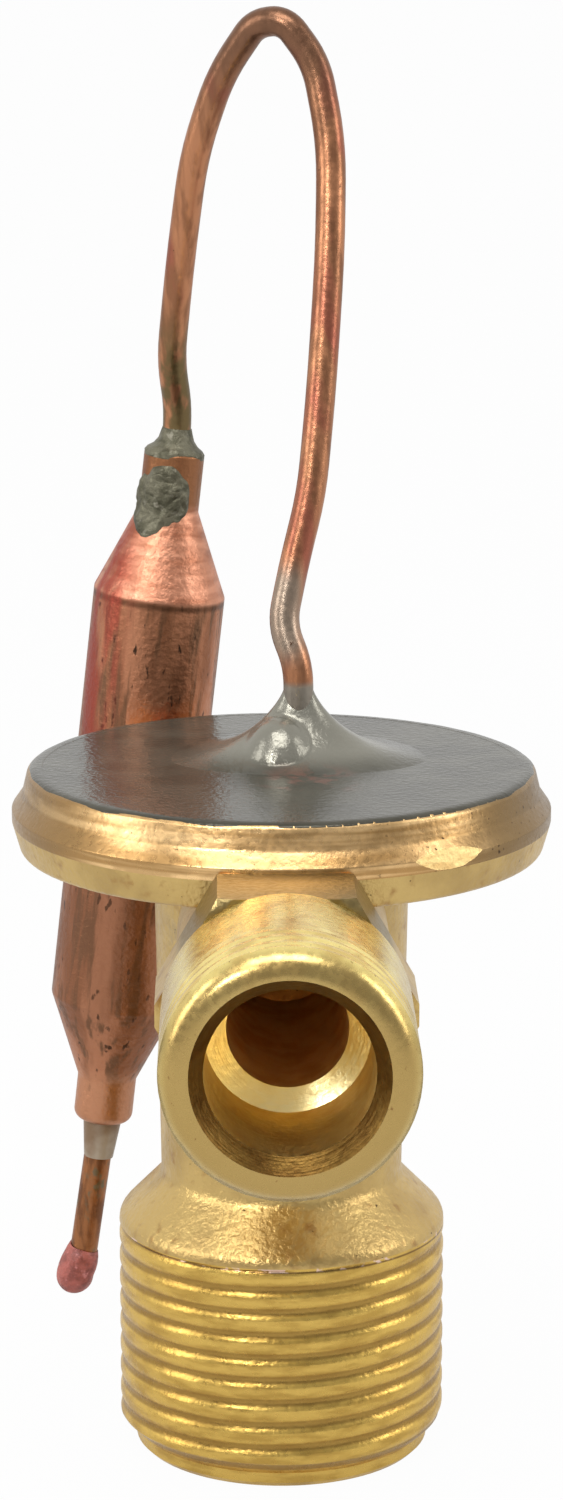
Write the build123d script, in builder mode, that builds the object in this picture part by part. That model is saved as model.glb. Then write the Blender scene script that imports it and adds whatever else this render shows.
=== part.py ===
"""Thermostatic expansion valve, angle pattern, with a capillary and a sensing bulb.

Row frame: millimetres, +Z up along the valve's axis, origin at the centre of the outlet end
face. The inlet port points towards -Y, and the sensing bulb hangs behind the diaphragm flange.
"""

from build123d import *
import math
import os

os.makedirs("parts", exist_ok=True)

# ---------------------------------------------------------------- driving dimensions (mm)
# outlet end of the body
outlet_thread_r = 12.7          # 1-14 UNS, major diameter 25.4
outlet_face_r = 11.05
pilot_r = 11.45
pilot_height = 1.2
outlet_recess_r = 8.9           # plain counterbore in front of the adjusting nut's thread
outlet_recess_depth = 4.8
outlet_bore_r = 8.5
outlet_bore_depth = 19.0
thread_end_z = 18.6             # plain major diameter ends, shoulder cone starts
shoulder_height = 3.4
shoulder_round = 1.3

# neck and diaphragm flange of the body
neck_foot_r = 9.37
neck_r = 9.84
flange_under_z = 47.85
band_r = 20.65
band_low_z = 50.3
band_height = 0.9
corner_inset = 0.7              # the flange's lower corner, lip foot and lip, in from the band
lip_foot_inset = 0.8
lip_foot_rise = 1.15
lip_inset = 1.25
lip_wall = 0.85
lip_edge = 0.15                 # the wall is thinner by this much at the lip's top edge
lip_height = 3.0
neck_round = 1.1
corner_round = 0.7
band_round = 0.5
band_crease = 0.25              # inner round between the band and the rolled lip
lip_waist_round = 0.8
lip_outer_round = 0.5
lip_inner_round = 0.15

# diaphragm chamber, measured down from the ledge that the diaphragm lies on
ledge_z = 51.3
chamber_r = 15.2
chamber_depth = 2.0
diaphragm_t = 0.2
diaphragm_waves = 3
wave_height = 0.25
wave_margin = 0.4               # flat ring left between the waves and the clamped edge
cap_seat_t = 1.75               # outer ring of the cap, under the rolled lip
cap_t = 2.8
cap_dome_r = 14.6
cap_dome_depth = 1.5
cap_gap = 0.05

# inlet port
port_z = 42.4
port_mouth = 42.9               # distance of the mouth from the valve's axis
port_thread_r = 8.95            # M18 x 1.5, major diameter 17.9
port_nose_r = 7.9
hex_across_flats = 17.0
hex_front = 27.8
hex_rear = 20.2
hex_chamfer_r = 9.25            # the turned chamfer cuts the hexagon's corners at this radius
hex_chamfer_slope = 0.6
hex_side = 9.35                 # flats trimmed on the two side corners, as forged
hex_clear = 0.5                 # the turned profile passes this far outside the corners
boss_r = 8.0
port_mouth_r = 6.87
port_mouth_chamfer = 1.4        # depth of the countersink
port_bore_r = 5.87
port_bore_depth = 11.2
feed_bore_r = 4.32
feed_bore_end = 9.0             # distance of the small bore's end from the valve's axis
feed_hole_r = 2.8
drill_slope = 31.0              # degrees, of the drill's point

# seat, ball, carrier and push rods
spring_chamber_r = 7.6
spring_chamber_top_z = 28.5
seat_r = 4.2
seat_length = 5.0
orifice_r = 1.5
seat_bevel = 0.6
ball_r = 2.5
seat_gap = 0.1
rod_r = 0.75
rod_count = 3
rod_circle_r = 6.4
rod_clearance = 0.1
carrier_r = 7.25
carrier_t = 1.6
carrier_z = 22.4                # underside of the carrier's flange
carrier_hub_r = 3.3
carrier_spigot_r = 3.6
carrier_spigot_t = 1.8
carrier_slot_r = 2.2
pad_r = 10.2
pad_t = 1.0
pad_gap = 0.05
pad_round = 0.3

# superheat spring, its seat and the adjusting nut
nut_z = 6.5
nut_t = 5.0
nut_clearance = 0.05
nut_socket = 9.0                # hexagon socket, across flats
spring_seat_t = 1.2
spring_seat_r = 7.2
spring_seat_hole_r = 2.8
spring_seat_collar_r = 4.2
spring_seat_collar_t = 1.6
seat_to_nut = 0.05
nut_chamfer = 0.4
wire_r = 0.6
spring_r = 5.3                  # centre line of the wire
spring_turns = 4.5
spring_end_gap = 0.05

# capillary tube, from the cap to the sensing bulb
tube_r = 1.15
braze_gap = 0.02
tube_x = 1.33
tube_y = 2.0
tube_insert = 1.0               # how far the tube reaches below the cap's top face

# solder mound on the cap
mound_x = -0.1
mound_y = 0.5
mound_r = 2.75
mound_height = 3.6
mound_foot = 1.2                # where the dome turns into the skirt
mound_skirt_r = 7.4
cone_r = 3.6
cone_height = 5.4
cone_top_r = 1.35

# sensing bulb, on a leaning axis through its lower end, just clear of the flange's rim
bulb_x = -14.73
bulb_z = 18.36
bulb_rim_gap = 0.3
bulb_lean = 6.45                # degrees, towards +X at the top
bulb_length = 57.0
bulb_r = 5.36
bulb_neck_r = 2.45
lower_neck = 3.9
lower_cone = 6.9
upper_neck = 4.8
upper_cone = 6.8
shoulder_soft = 0.6
neck_socket = 4.0
socket_gap = 0.5                # the tube stops this short of the socket's bottom
neck_lead = 3.2                 # straight stretch of the capillary above the neck

# charge tube below the bulb, with its dipped seal
charge_drop = 12.4              # from the bulb's lower end to the tube's cut end
charge_lead = 1.2
charge_bend_r = 20.0
charge_lean = 8.5               # degrees
seal_r = 1.6
seal_length = 4.2
seal_cover = 1.0                # how far the tube's cut end lies inside the drop
seal_lean = 18.0                # degrees; the drop has run to one side of the tube
seal_edge = 0.1
collar_r = 2.2
collar_height = 1.5
collar_edge = 0.25              # thickness left at the collar's far end
charge_collar_r = 1.6
charge_collar_height = 3.2
charge_collar_edge = 0.08
neck_edge_round = 0.3
lower_end_round = 0.9
blob_r = 1.95
blob_height = 0.55
blob_root = 1.0                 # how far the blob starts inside the neck's surface
blob_below_top = 3.4

# ---------------------------------------------------------------- places worked out from them
shoulder_top_z = thread_end_z + shoulder_height
band_top_z = band_low_z + band_height
band_split_z = band_top_z - band_height / 3
lip_top_z = band_top_z + lip_height
chamber_floor_z = ledge_z - chamber_depth
cap_z = ledge_z + diaphragm_t
cap_top_z = cap_z + cap_t
flange_corner_r = band_r - corner_inset
lip_foot_r = band_r - lip_foot_inset
lip_r = band_r - lip_inset
lip_bore_r = lip_foot_r - lip_wall
lip_mouth_r = lip_r - lip_wall + lip_edge
hex_r = hex_across_flats / 2
port_front = port_mouth - port_mouth_chamfer
drill_rise = math.tan(math.radians(drill_slope))
cone_end = port_mouth - port_bore_depth - (port_bore_r - feed_bore_r) * drill_rise
drill_tip = (feed_bore_r - feed_hole_r) * drill_rise
pad_z = ledge_z - pad_gap - pad_t
seat_contact_r = ball_r * math.sin(math.radians(45))
ball_z = spring_chamber_top_z + seat_bevel + orifice_r - 2 * seat_contact_r - seat_gap
carrier_top_z = carrier_z + carrier_t
spring_seat_z = nut_z + nut_t + seat_to_nut
spring_low_z = spring_seat_z + spring_seat_t + spring_end_gap
spring_top_z = carrier_z - spring_end_gap

inlet_plane = Plane(origin=(0, 0, port_z), x_dir=(1, 0, 0), z_dir=(0, -1, 0))
inlet_section = Plane(origin=(0, 0, port_z), x_dir=(0, -1, 0), z_dir=(1, 0, 0))
inlet_axis = Axis((0, 0, port_z), (0, -1, 0))

lean = math.radians(bulb_lean)
bulb_up = Vector(math.sin(lean), 0, math.cos(lean))
bulb_x_at_rim = bulb_x + (band_top_z - bulb_z) * math.tan(lean)
bulb_y = math.sqrt((band_r + bulb_r + bulb_rim_gap) ** 2 - bulb_x_at_rim**2)
bulb_low = Vector(bulb_x, bulb_y, bulb_z)
bulb_top = bulb_low + bulb_up * bulb_length
bulb_section = Plane(origin=bulb_low, x_dir=(math.cos(lean), 0, -math.sin(lean)), z_dir=(0, -1, 0))
bulb_axis = Axis(bulb_low, bulb_up)

# ---------------------------------------------------------------- hexagon of the inlet port
# A wrench hexagon, its corners bevelled front and rear as on a nut.
hex_corner_r = hex_r / math.cos(math.radians(30))
hex_clear_r = hex_corner_r + hex_clear
hex_bevel = (hex_clear_r - hex_chamfer_r) * hex_chamfer_slope

with BuildPart() as port_hexagon:
    with BuildSketch(inlet_plane.offset(hex_rear)):
        RegularPolygon(hex_r, 6, major_radius=False)
        Rectangle(2 * hex_side, 2 * hex_clear_r, mode=Mode.INTERSECT)
    extrude(amount=hex_front - hex_rear)
    with BuildSketch(inlet_section):
        with BuildLine():
            Polyline(
                (hex_rear, 0),
                (hex_rear, hex_chamfer_r),
                (hex_rear + hex_bevel, hex_clear_r),
                (hex_front - hex_bevel, hex_clear_r),
                (hex_front, hex_chamfer_r),
                (hex_front, 0),
                close=True,
            )
        make_face()
    revolve(axis=inlet_axis, mode=Mode.INTERSECT)

# ---------------------------------------------------------------- valve body
# One hot-forged brass piece: threaded outlet, neck, inlet port and the cup for the diaphragm,
# whose lip is rolled over the cap.
with BuildPart() as valve_body:
    with BuildSketch(Plane.XZ):
        with BuildLine():
            Polyline(
                (0, chamber_floor_z),
                (0, 0),
                (outlet_face_r, 0),
                (pilot_r, pilot_r - outlet_face_r),
                (pilot_r, pilot_height),
                (outlet_thread_r, pilot_height + outlet_thread_r - pilot_r),
                (outlet_thread_r, thread_end_z - shoulder_round),
            )
            FilletPolyline(
                (outlet_thread_r, thread_end_z - shoulder_round),
                (outlet_thread_r, thread_end_z),
                (neck_foot_r, shoulder_top_z),
                (neck_r, flange_under_z),
                (flange_corner_r, flange_under_z),
                (band_r, band_low_z),
                (band_r, band_split_z),
                radius=(shoulder_round, shoulder_round, neck_round, corner_round, band_round),
            )
            FilletPolyline(
                (band_r, band_split_z),
                (band_r, band_top_z),
                (lip_foot_r, band_top_z + lip_foot_rise),
                (lip_r, lip_top_z),
                (lip_mouth_r, lip_top_z),
                (lip_bore_r, cap_z + cap_seat_t),
                radius=(band_crease, lip_waist_round, lip_outer_round, lip_inner_round),
            )
            Polyline(
                (lip_bore_r, cap_z + cap_seat_t),
                (lip_bore_r, ledge_z),
                (chamber_r, ledge_z),
                (chamber_r, chamber_floor_z),
                (0, chamber_floor_z),
            )
        make_face()
    revolve(axis=Axis.Z)

    # inlet boss, hexagon and threaded spigot, kept out of the diaphragm chamber
    with BuildSketch(inlet_plane):
        Circle(boss_r)
    extrude(amount=hex_rear)
    add(port_hexagon.part)
    with BuildSketch(inlet_plane.offset(hex_front)):
        Circle(port_thread_r)
    extrude(amount=port_mouth - hex_front)
    spigot_edge = edges().filter_by(GeomType.CIRCLE).sort_by(Axis.Y)[0]
    chamfer(spigot_edge, length=port_thread_r - port_nose_r)
    with BuildSketch(Plane.XY.offset(chamber_floor_z)):
        Circle(chamber_r)
    extrude(amount=lip_top_z - chamber_floor_z, mode=Mode.SUBTRACT)

    # inlet: countersunk mouth, tube socket, small bore and the hole to the seat
    with BuildSketch(inlet_section):
        with BuildLine():
            Polyline(
                (port_mouth, 0),
                (port_mouth, port_mouth_r),
                (port_front, port_bore_r),
                (port_mouth - port_bore_depth, port_bore_r),
                (cone_end, feed_bore_r),
                (feed_bore_end, feed_bore_r),
                (feed_bore_end - drill_tip, feed_hole_r),
                (0, feed_hole_r),
                (0, 0),
                close=True,
            )
        make_face()
    revolve(axis=inlet_axis, mode=Mode.SUBTRACT)

    # outlet: threaded bore, spring chamber, seat bore and the passage up to the inlet
    with BuildSketch(Plane.XZ):
        with BuildLine():
            Polyline(
                (0, 0),
                (outlet_recess_r, 0),
                (outlet_recess_r, outlet_recess_depth),
                (outlet_bore_r, outlet_recess_depth),
                (outlet_bore_r, outlet_bore_depth),
                (spring_chamber_r, outlet_bore_depth + outlet_bore_r - spring_chamber_r),
                (spring_chamber_r, spring_chamber_top_z),
                (seat_r + braze_gap, spring_chamber_top_z),
                (seat_r + braze_gap, spring_chamber_top_z + seat_length),
                (feed_hole_r, spring_chamber_top_z + seat_length),
                (feed_hole_r, port_z),
                (0, port_z),
                close=True,
            )
        make_face()
    revolve(axis=Axis.Z, mode=Mode.SUBTRACT)

    # push-rod holes, which also let the outlet pressure up under the diaphragm
    with BuildSketch(Plane.XY.offset(spring_chamber_top_z)):
        with PolarLocations(rod_circle_r, rod_count, start_angle=90):
            Circle(rod_r + rod_clearance)
    extrude(amount=chamber_floor_z - spring_chamber_top_z, mode=Mode.SUBTRACT)
valve_body.part.label = "valve_body"

# ---------------------------------------------------------------- seat insert
# A turned steel orifice, pressed into the body from below.
with BuildPart() as seat_insert:
    with BuildSketch(Plane.XZ):
        with BuildLine():
            Polyline(
                (orifice_r, spring_chamber_top_z + seat_bevel),
                (orifice_r + seat_bevel, spring_chamber_top_z),
                (seat_r, spring_chamber_top_z),
                (seat_r, spring_chamber_top_z + seat_length),
                (orifice_r, spring_chamber_top_z + seat_length),
                close=True,
            )
        make_face()
    revolve(axis=Axis.Z)
seat_insert.part.label = "seat_insert"

# ---------------------------------------------------------------- valve ball, carrier and rods
with BuildPart() as valve_ball:
    with Locations((0, 0, ball_z)):
        Sphere(ball_r)
valve_ball.part.label = "valve_ball"

# The carrier is a turned spider: a flange under the rods, slots for the flow between them,
# a hub that holds the ball and a spigot inside the spring.
with BuildPart() as ball_carrier:
    with BuildSketch(Plane.XY.offset(carrier_z)):
        Circle(carrier_r)
        with PolarLocations(carrier_r, rod_count, start_angle=30):
            Circle(carrier_slot_r, mode=Mode.SUBTRACT)
    extrude(amount=carrier_t)
    with BuildSketch(Plane.XY.offset(carrier_z - carrier_spigot_t)):
        Circle(carrier_spigot_r)
    extrude(amount=carrier_spigot_t)
    with BuildSketch(Plane.XY.offset(carrier_top_z)):
        Circle(carrier_hub_r)
    extrude(amount=ball_z - ball_r / 3 - carrier_top_z)
    with Locations((0, 0, ball_z)):
        Sphere(ball_r + braze_gap, mode=Mode.SUBTRACT)
ball_carrier.part.label = "ball_carrier"

push_rods = []
for index in range(rod_count):
    angle = math.radians(90 + index * 360 / rod_count)
    rod_foot = Plane.XY.offset(carrier_top_z)
    with BuildPart() as push_rod:
        with BuildSketch(rod_foot):
            with Locations((rod_circle_r * math.cos(angle), rod_circle_r * math.sin(angle))):
                Circle(rod_r)
        extrude(amount=pad_z - carrier_top_z)
    push_rod.part.label = f"push_rod_{index + 1}"
    push_rods.append(push_rod.part)

# The thrust pad is a plain disc between the diaphragm and the rods.
with BuildPart() as thrust_pad:
    with BuildSketch(Plane.XY.offset(pad_z)):
        Circle(pad_r)
    extrude(amount=pad_t)
    fillet(thrust_pad.edges().sort_by(Axis.Z)[-1], radius=pad_round)
thrust_pad.part.label = "thrust_pad"

# ---------------------------------------------------------------- spring, seat and nut
with BuildPart() as superheat_spring:
    with BuildLine():
        coil = Helix(
            pitch=(spring_top_z - spring_low_z - 2 * wire_r) / spring_turns,
            height=spring_top_z - spring_low_z - 2 * wire_r,
            radius=spring_r,
            center=(0, 0, spring_low_z + wire_r),
        )
    with BuildSketch(Plane(origin=coil @ 0, z_dir=coil % 0)):
        Circle(wire_r)
    sweep(is_frenet=True)
superheat_spring.part.label = "superheat_spring"

with BuildPart() as spring_seat:
    with BuildSketch(Plane.XY.offset(spring_seat_z)):
        Circle(spring_seat_r)
        Circle(spring_seat_hole_r, mode=Mode.SUBTRACT)
    extrude(amount=spring_seat_t)
    with BuildSketch(Plane.XY.offset(spring_seat_z + spring_seat_t)):
        Circle(spring_seat_collar_r)
        Circle(spring_seat_hole_r, mode=Mode.SUBTRACT)
    extrude(amount=spring_seat_collar_t)
spring_seat.part.label = "spring_seat"

with BuildPart() as adjusting_nut:
    with BuildSketch(Plane.XY.offset(nut_z)):
        Circle(outlet_bore_r - nut_clearance)
        RegularPolygon(nut_socket / 2, 6, major_radius=False, mode=Mode.SUBTRACT)
    extrude(amount=nut_t)
    rim_edges = adjusting_nut.edges().filter_by(GeomType.CIRCLE)
    chamfer(rim_edges, length=nut_chamfer)
adjusting_nut.part.label = "adjusting_nut"

# ---------------------------------------------------------------- diaphragm and cap
# Thin spring-steel diaphragm, flat where it is clamped and over the pad, with waves between.
wave_pitch = (chamber_r - wave_margin - pad_r) / diaphragm_waves
rim_r = lip_bore_r - cap_gap
with BuildPart() as diaphragm:
    with BuildSketch(Plane.XZ):
        with BuildLine():
            for lift in (0, diaphragm_t):
                level = ledge_z + lift
                Line((0, level), (pad_r, level))
                for wave in range(diaphragm_waves):
                    left = pad_r + wave * wave_pitch
                    crest = (left + wave_pitch / 2, level + wave_height)
                    ThreePointArc((left, level), crest, (left + wave_pitch, level))
                Line((chamber_r - wave_margin, level), (rim_r, level))
            Line((0, ledge_z), (0, ledge_z + diaphragm_t))
            Line((rim_r, ledge_z), (rim_r, ledge_z + diaphragm_t))
        make_face()
    revolve(axis=Axis.Z)
diaphragm.part.label = "diaphragm"

# Pressed steel cap, tinned, clamped under the rolled lip and hollowed over the diaphragm.
cap_crown_r = lip_mouth_r - cap_gap
with BuildPart() as element_cap:
    with BuildSketch(Plane.XZ):
        with BuildLine():
            Polyline(
                (0, cap_z + cap_dome_depth),
                (0, cap_top_z),
                (cap_crown_r, cap_top_z),
                (cap_crown_r, lip_top_z - lip_inner_round),
                (rim_r, cap_z + cap_seat_t - cap_gap),
                (rim_r, cap_z),
                (cap_dome_r + cap_dome_depth / 2, cap_z),
                (cap_dome_r, cap_z + cap_dome_depth / 2),
                (cap_dome_r - cap_dome_depth, cap_z + cap_dome_depth),
                close=True,
            )
        make_face()
    revolve(axis=Axis.Z)
    with Locations((tube_x, tube_y, cap_top_z)):
        Hole(tube_r + braze_gap)
element_cap.part.label = "element_cap"

# ---------------------------------------------------------------- capillary tube
# Drawn copper tube, bent by hand into a tall loop. The corners of its route are measured from
# its root on the cap up to the loop's top, and from the bulb's upper end on the way down.
tube_root = Vector(tube_x, tube_y, cap_top_z)
rising_corners = [
    (0.0, 0.0, 7.3),
    (-1.25, 1.1, 10.3),
    (-0.25, 2.2, 15.1),
    (1.05, 3.3, 20.1),
    (1.85, 5.1, 28.1),
    (2.55, 7.4, 38.5),
    (2.65, 9.1, 46.4),
    (1.5, 10.4, 52.4),
    (-0.9, 10.9, 55.6),
]
falling_corners = [
    (6.5, -9.8, 34.6),
    (3.85, -7.7, 30.6),
    (1.75, -6.0, 24.4),
    (0.6, -3.9, 16.0),
    (-0.25, -1.7, 7.6),
]
tube_route = [tube_root - Vector(0, 0, tube_insert)]
tube_route += [tube_root + Vector(corner) for corner in rising_corners]
tube_route += [bulb_top + Vector(corner) for corner in falling_corners]
tube_route += [bulb_top + bulb_up * neck_lead, bulb_top - bulb_up * (neck_socket - socket_gap)]
bend_radii = []
for before, corner, after in zip(tube_route, tube_route[1:], tube_route[2:]):
    run_in = corner - before
    run_out = after - corner
    turn = math.radians(run_in.get_angle(run_out))
    bend_radii.append(0.45 * min(run_in.length, run_out.length) / math.tan(turn / 2))
print("capillary bend radii:", [round(radius, 1) for radius in bend_radii])

with BuildPart() as capillary_tube:
    with BuildLine() as tube_line:
        FilletPolyline(*tube_route, radius=bend_radii)
    with BuildSketch(Plane(origin=tube_line.line @ 0, z_dir=tube_line.line % 0)):
        Circle(tube_r)
    sweep(path=tube_line.line)
capillary_tube.part.label = "capillary_tube"

# Soft-solder mound on the cap: a dome, with a drawn-up cone that wets the tube.
with BuildPart() as cap_solder:
    with BuildSketch(Plane.XZ.offset(-mound_y)):
        with BuildLine():
            dome_top = (mound_x, cap_top_z + mound_height)
            dome_foot = (mound_x + mound_r, cap_top_z + mound_foot)
            skirt = (mound_x + mound_skirt_r, cap_top_z)
            dome = TangentArc(dome_top, dome_foot, tangent=(1, 0))
            Spline(dome_foot, skirt, tangents=(dome % 1, (1, 0)), tangent_scalars=(0.5, 1.5))
            Polyline(skirt, (mound_x, cap_top_z), dome_top)
        make_face()
    revolve(axis=Axis((mound_x, mound_y, 0), (0, 0, 1)))
    with BuildSketch(Plane.XZ.offset(-tube_y)):
        with BuildLine():
            cone_top = (tube_x + cone_top_r, cap_top_z + cone_height)
            cone_foot = (tube_x + cone_r, cap_top_z)
            Spline(cone_top, cone_foot, tangents=((0, -1), (1, -0.05)))
            Polyline(
                cone_foot,
                (tube_x, cap_top_z),
                (tube_x, cap_top_z + cone_height),
                cone_top,
            )
        make_face()
    revolve(axis=Axis((tube_x, tube_y, 0), (0, 0, 1)))
    with BuildSketch(Plane(origin=tube_line.line @ 0, z_dir=tube_line.line % 0)):
        Circle(tube_r + braze_gap)
    sweep(path=tube_line.line, mode=Mode.SUBTRACT)
cap_solder.part.label = "cap_solder"

# ---------------------------------------------------------------- sensing bulb
# Copper tube swaged to a neck at each end, charged and sealed, so it is solid here.
with BuildPart() as sensing_bulb:
    with BuildSketch(bulb_section):
        with BuildLine():
            FilletPolyline(
                (0, 0),
                (bulb_neck_r, 0),
                (bulb_neck_r, lower_neck),
                (bulb_r, lower_neck + lower_cone),
                (bulb_r, bulb_length - upper_neck - upper_cone),
                (bulb_neck_r, bulb_length - upper_neck),
                (bulb_neck_r, bulb_length),
                (0, bulb_length),
                radius=(lower_end_round,) + (shoulder_soft,) * 4 + (neck_edge_round,),
            )
            Line((0, bulb_length), (0, 0))
        make_face()
    revolve(axis=bulb_axis)
    for mouth, way in ((bulb_low, bulb_up), (bulb_top, -bulb_up)):
        with BuildSketch(Plane(origin=mouth, z_dir=way)):
            Circle(tube_r + braze_gap)
        extrude(amount=neck_socket, mode=Mode.SUBTRACT)
sensing_bulb.part.label = "sensing_bulb"

# Solder at the upper neck: a collar round the capillary and a blob run down the front.
with BuildPart() as bulb_solder:
    with BuildSketch(bulb_section):
        with BuildLine():
            Polyline(
                (0, bulb_length),
                (collar_r, bulb_length),
                (tube_r + collar_edge, bulb_length + collar_height),
                (0, bulb_length + collar_height),
                close=True,
            )
        make_face()
    revolve(axis=bulb_axis)
    with BuildSketch(Plane(origin=tube_line.line @ 1, z_dir=tube_line.line % 1)):
        Circle(tube_r + braze_gap)
    sweep(path=tube_line.line, mode=Mode.SUBTRACT)
    blob_centre = bulb_top - bulb_up * blob_below_top
    blob_plane = Plane(origin=blob_centre, x_dir=bulb_section.x_dir, z_dir=(0, -1, 0))
    with BuildSketch(blob_plane.offset(bulb_neck_r - blob_root)):
        Circle(blob_r)
    extrude(amount=blob_root + blob_height)
    blob_rim = bulb_solder.edges().filter_by(GeomType.CIRCLE).sort_by(Axis.Y)[0]
    fillet(blob_rim, radius=blob_height)
    add(sensing_bulb.part, mode=Mode.SUBTRACT)
bulb_solder.part.label = "bulb_solder"

# ---------------------------------------------------------------- charge tube and its seal
charge_way = Vector(-math.sin(math.radians(charge_lean)), 0, -math.cos(math.radians(charge_lean)))
charge_bend = bulb_low - bulb_up * charge_lead
charge_end = charge_bend + charge_way * (charge_drop - charge_lead)
charge_route = [bulb_low + bulb_up * (neck_socket - socket_gap), charge_bend, charge_end]

with BuildPart() as charge_tube:
    with BuildLine() as charge_line:
        FilletPolyline(*charge_route, radius=charge_bend_r)
    with BuildSketch(Plane(origin=charge_line.line @ 0, z_dir=charge_line.line % 0)):
        Circle(tube_r)
    sweep(path=charge_line.line)
charge_tube.part.label = "charge_tube"

with BuildPart() as charge_solder:
    with BuildSketch(bulb_section):
        with BuildLine():
            Polyline(
                (0, 0),
                (charge_collar_r, 0),
                (tube_r + charge_collar_edge, -charge_collar_height),
                (0, -charge_collar_height),
                close=True,
            )
        make_face()
    revolve(axis=bulb_axis)
    with BuildSketch(Plane(origin=charge_line.line @ 0, z_dir=charge_line.line % 0)):
        Circle(tube_r + braze_gap)
    sweep(path=charge_line.line, mode=Mode.SUBTRACT)
charge_solder.part.label = "charge_solder"

# The cut end of the charge tube is dipped in a red sealing resin, which has set as a drop.
seal_way = Vector(-math.sin(math.radians(seal_lean)), 0, -math.cos(math.radians(seal_lean)))
seal_tip = charge_end - charge_way * seal_cover + seal_way * seal_length
seal_section = Plane(origin=seal_tip, x_dir=(-seal_way.Z, 0, seal_way.X), z_dir=(0, -1, 0))
with BuildPart() as charge_seal:
    with BuildSketch(seal_section):
        with BuildLine():
            seal_top = (tube_r + seal_edge, seal_length)
            CenterArc((0, seal_r), seal_r, -90, 90)
            TangentArc((seal_r, seal_r), seal_top, tangent=(0, 1))
            Polyline(seal_top, (0, seal_length), (0, 0))
        make_face()
    revolve(axis=Axis(seal_tip, seal_way))
    with BuildSketch(Plane(origin=charge_end, z_dir=-charge_way)):
        Circle(tube_r + braze_gap)
    extrude(amount=seal_length, mode=Mode.SUBTRACT)
charge_seal.part.label = "charge_seal"

# ---------------------------------------------------------------- one STEP file for each piece
finished = [
    valve_body.part,
    seat_insert.part,
    valve_ball.part,
    ball_carrier.part,
    thrust_pad.part,
    superheat_spring.part,
    spring_seat.part,
    adjusting_nut.part,
    diaphragm.part,
    element_cap.part,
    capillary_tube.part,
    cap_solder.part,
    sensing_bulb.part,
    bulb_solder.part,
    charge_tube.part,
    charge_solder.part,
    charge_seal.part,
]
for piece in finished + push_rods:
    export_step(piece, f"parts/{piece.label}.step")
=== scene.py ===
"""Looks of the thermostatic expansion valve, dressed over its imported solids. Metres."""

import math

import bmesh
import bpy
from mathutils import Matrix, Vector, noise


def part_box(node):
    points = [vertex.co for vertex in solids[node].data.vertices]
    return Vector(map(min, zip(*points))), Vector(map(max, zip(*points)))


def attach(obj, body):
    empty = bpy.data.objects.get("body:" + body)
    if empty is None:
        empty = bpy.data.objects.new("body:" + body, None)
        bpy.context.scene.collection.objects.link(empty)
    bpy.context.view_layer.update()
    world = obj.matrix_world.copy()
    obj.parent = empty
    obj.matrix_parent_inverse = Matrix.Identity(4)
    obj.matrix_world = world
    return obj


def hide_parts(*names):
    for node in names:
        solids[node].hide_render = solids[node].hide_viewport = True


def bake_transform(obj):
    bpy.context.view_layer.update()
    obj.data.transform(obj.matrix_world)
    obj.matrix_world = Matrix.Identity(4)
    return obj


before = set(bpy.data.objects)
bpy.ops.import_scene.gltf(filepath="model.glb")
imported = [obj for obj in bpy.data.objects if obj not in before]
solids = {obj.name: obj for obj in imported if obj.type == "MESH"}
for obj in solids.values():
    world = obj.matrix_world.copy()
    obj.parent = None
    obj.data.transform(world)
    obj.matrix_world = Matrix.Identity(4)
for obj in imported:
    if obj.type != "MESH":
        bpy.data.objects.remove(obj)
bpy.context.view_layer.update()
scene = bpy.context.scene
scene.view_settings.view_transform = "Standard"

# ---------------------------------------------------------------- camera
# A long lens, higher than the diaphragm head and a hair to its left, looks down a little at the
# valve's front.
camera_place = (-0.00426, -0.3046, 0.1234)
camera_dip = 12.578             # degrees below level
camera_swing = -0.014           # radians about the upright axis
camera_data = bpy.data.cameras.new("camera")
camera_data.sensor_width = 36
camera_data.lens = 97.95
camera = bpy.data.objects.new("camera", camera_data)
camera.location = camera_place
camera.rotation_euler = (math.radians(90 - camera_dip), 0, camera_swing)
scene.collection.objects.link(camera)
scene.camera = camera


# ---------------------------------------------------------------- floor and background
# A white floor that runs into a white background. The valve stands on its outlet face, and the
# floor keeps a faint shadow of it.
def add_node(tree, kind, sockets=None, **settings):
    """Adds a shader node, and fills its sockets with values or with other nodes' outputs."""
    node = tree.nodes.new(kind)
    for name, value in settings.items():
        setattr(node, name, value)
    for name, value in (sockets or {}).items():
        if isinstance(value, bpy.types.NodeSocket):
            tree.links.new(value, node.inputs[name])
        else:
            node.inputs[name].default_value = value
    return node


def new_material(name):
    """An empty node material, with its output node."""
    material = bpy.data.materials.new(name)
    material.use_nodes = True
    material.node_tree.nodes.clear()
    output = material.node_tree.nodes.new("ShaderNodeOutputMaterial")
    return material, material.node_tree, output


floor_size = 12.0
camera_lift = 0.97              # how far the floor is lifted to white, to the eye
gloss_lift = 0.5                # and in the metal's reflections
floor_shape = bmesh.new()
bmesh.ops.create_grid(floor_shape, x_segments=1, y_segments=1, size=floor_size / 2)
floor_mesh = bpy.data.meshes.new("floor")
floor_shape.to_mesh(floor_mesh)
floor_shape.free()
floor = bpy.data.objects.new("floor", floor_mesh)
scene.collection.objects.link(floor)

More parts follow.
